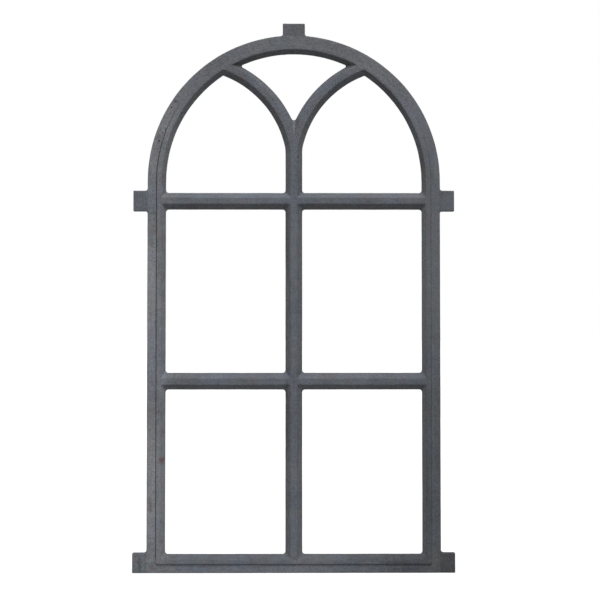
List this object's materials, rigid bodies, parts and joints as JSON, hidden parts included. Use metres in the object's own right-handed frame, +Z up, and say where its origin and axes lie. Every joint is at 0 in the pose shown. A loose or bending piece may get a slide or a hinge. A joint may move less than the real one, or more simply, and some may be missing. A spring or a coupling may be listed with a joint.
{
  "type": "arched cast iron window",
  "caption": "Round-headed cast iron barn window in one casting, with mullion, transoms, branching tracery, putty rebates at the back and lugs that build into masonry.",
  "frame": {"origin": "middle of the underside of the sill rail, the face that stands on the sill", "axes": "+X to the right seen from the front, +Y into the building, +Z up; the front faces -Y"},
  "size_m": [0.5734, 0.022, 0.98],
  "materials": {
    "cast_iron": "bare sand-cast iron, matte, with a little rust"
  },
  "bodies": {
    "root": {"window_casting": "cast_iron"}
  },
  "joints": []
}
